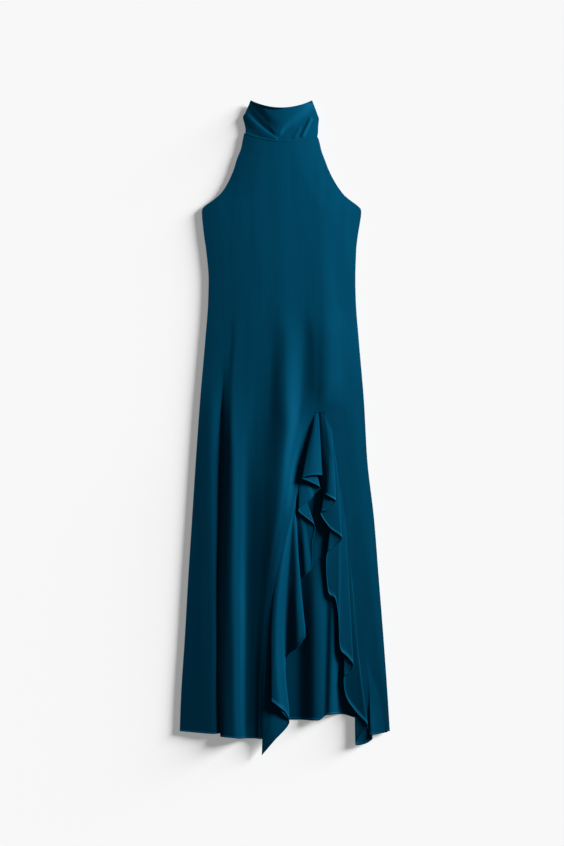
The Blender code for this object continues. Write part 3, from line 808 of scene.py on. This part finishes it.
# Columns: share of the collar's height, left fold, right fold
COLLAR_SIDES = [
    (0.00, -92.5, 76.0), (0.12, -92.0, 78.0), (0.30, -94.5, 78.5), (0.48, -98.0, 80.0),
    (0.62, -93.0, 76.5), (0.80, -87.0, 71.0), (1.00, -80.0, 64.0),
]
COLLAR_TOP_ENDS_Y = 768
COLLAR_TOP_MIDDLE_Y = 750.5
COLLAR_BACK_TOP_Y = 751.5
COLLAR_DIP = 7.0
COLLAR_DIP_X = -38
COLLAR_DIP_HALF = 58
COLLAR_TALL = 80.0
COLLAR_FOOT_SHARE = 0.14
COLLAR_SIDE_ROUNDING = 8
COLLAR_BACK_HEIGHT = 0.6
COLLAR_BACK_SIDE_LIFT = 1.6
COLLAR_BACK_CURL = 9.0
COLLAR_CURL_SHARE = 0.86
# Height and rounding of each swag, then its lower edge. Edge columns: place across, share of the
# collar's height
SWAGS = [
    (1.2, 14.0, [
        (-94, 0.86), (-80, 0.68), (-51, 0.42), (-34, 0.26), (-21, 0.12), (-12, 0.12), (1, 0.32),
        (29, 0.57), (66, 0.74), (80, 0.80),
    ]),
    (2.2, 24.0, [
        (-94, 1.05), (-75, 0.86), (-53, 0.66), (-30, 0.42), (-11, 0.33), (17, 0.40), (41, 0.56),
        (66, 0.74), (80, 0.84),
    ]),
]
# A swag bulges most in its middle and starts a little below its edge. The edge runs slanting, so
# the way across it is this share of the way up
SWAG_BELLY = 1.5
SWAG_TUCK = 2
SWAG_SLANT = 0.75
# Columns: start across, start share of the collar's height, end across, end share, height, width
# above, width below
COLLAR_FOLDS = [
    (-88, 0.58, -22, 0.08, 1.8, 8, 30),
    (60, 0.54, 42, 0.14, 1.7, 8, 8),
    (34, 0.34, 24, 0.12, 0.6, 8, 8),
]
NECK_SEAM_RISE = 0.9
NECK_SEAM_SHARE = 0.06
COLLAR_RINGS = 60
COLLAR_FRONT_POINTS = 141


def collar_height(x, share, across):
    """The front layer: swags that hang from both upper corners over the small folds below them."""
    z = plain_height(across / 2 + 0.5, NECK_END_Y)
    lift = np.zeros_like(x)
    under = 1.0
    for height, rounding, edge in SWAGS:
        above = (share - through(edge, 1, x)) * COLLAR_TALL * SWAG_SLANT
        swag = fade(above, -SWAG_TUCK, rounding)
        under = under * (1 - swag)
        lift = lift + swag * (height + SWAG_BELLY * (1 - across**2))
    for x0, s0, x1, s1, height, above_it, below_it in COLLAR_FOLDS:
        up = (share - s0) * COLLAR_TALL
        run = np.array([x1 - x0, (s1 - s0) * COLLAR_TALL])
        nearest = np.clip(((x - x0) * run[0] + up * run[1]) / (run @ run), 0, 1)
        off = np.hypot(x - x0 - nearest * run[0], up - nearest * run[1])
        turned = (x - x0) * run[1] - up * run[0]
        width = np.where(turned * np.sign(x1 - x0) < 0, above_it, below_it)
        lift = lift + under * height * bump(off / width)
    seam = NECK_SEAM_RISE * bump(share / NECK_SEAM_SHARE)
    sides = 1 - np.abs(across) ** COLLAR_SIDE_ROUNDING
    return z + seam + lift * fade(share, 0, COLLAR_FOOT_SHARE) * sides


def collar_points():
    """Rings of the flattened tube from the neck seam up, each first along its front."""
    across = np.cos(np.linspace(np.pi, 0, COLLAR_FRONT_POINTS))
    behind = across[-2:0:-2]
    rings = []
    for share in np.linspace(0, 1, COLLAR_RINGS):
        left, right = through(COLLAR_SIDES, 1, share), through(COLLAR_SIDES, 2, share)
        middle, half = (left + right) / 2, (right - left) / 2
        x_front, x_back = middle + half * across, middle + half * behind
        dip = COLLAR_DIP * bump((x_front - COLLAR_DIP_X) / COLLAR_DIP_HALF)
        top = COLLAR_TOP_MIDDLE_Y + (COLLAR_TOP_ENDS_Y - COLLAR_TOP_MIDDLE_Y) * across**2 - dip
        back_top = COLLAR_BACK_TOP_Y + (COLLAR_TOP_ENDS_Y - COLLAR_BACK_TOP_Y) * behind**2
        foot = neck_seam(x_front) - SEAM_LAP
        back_foot = neck_seam(x_back) - SEAM_LAP
        z_front = collar_height(x_front, share, across)
        side_lift = COLLAR_BACK_SIDE_LIFT * np.abs(behind) ** COLLAR_SIDE_ROUNDING
        curl = COLLAR_BACK_CURL * fade(share, COLLAR_CURL_SHARE, 1)
        z_back = COLLAR_BACK_HEIGHT + side_lift + curl
        rings.append(np.vstack([
            np.stack([x_front, foot + share * (top - foot), z_front], 1),
            np.stack([x_back, back_foot + share * (back_top - back_foot), z_back], 1),
        ]))
    return np.array(rings)


collar = cloth_piece("Collar", collar_points(), satin_face, closed=True, flip=True)
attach(collar, "root")
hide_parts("collar")
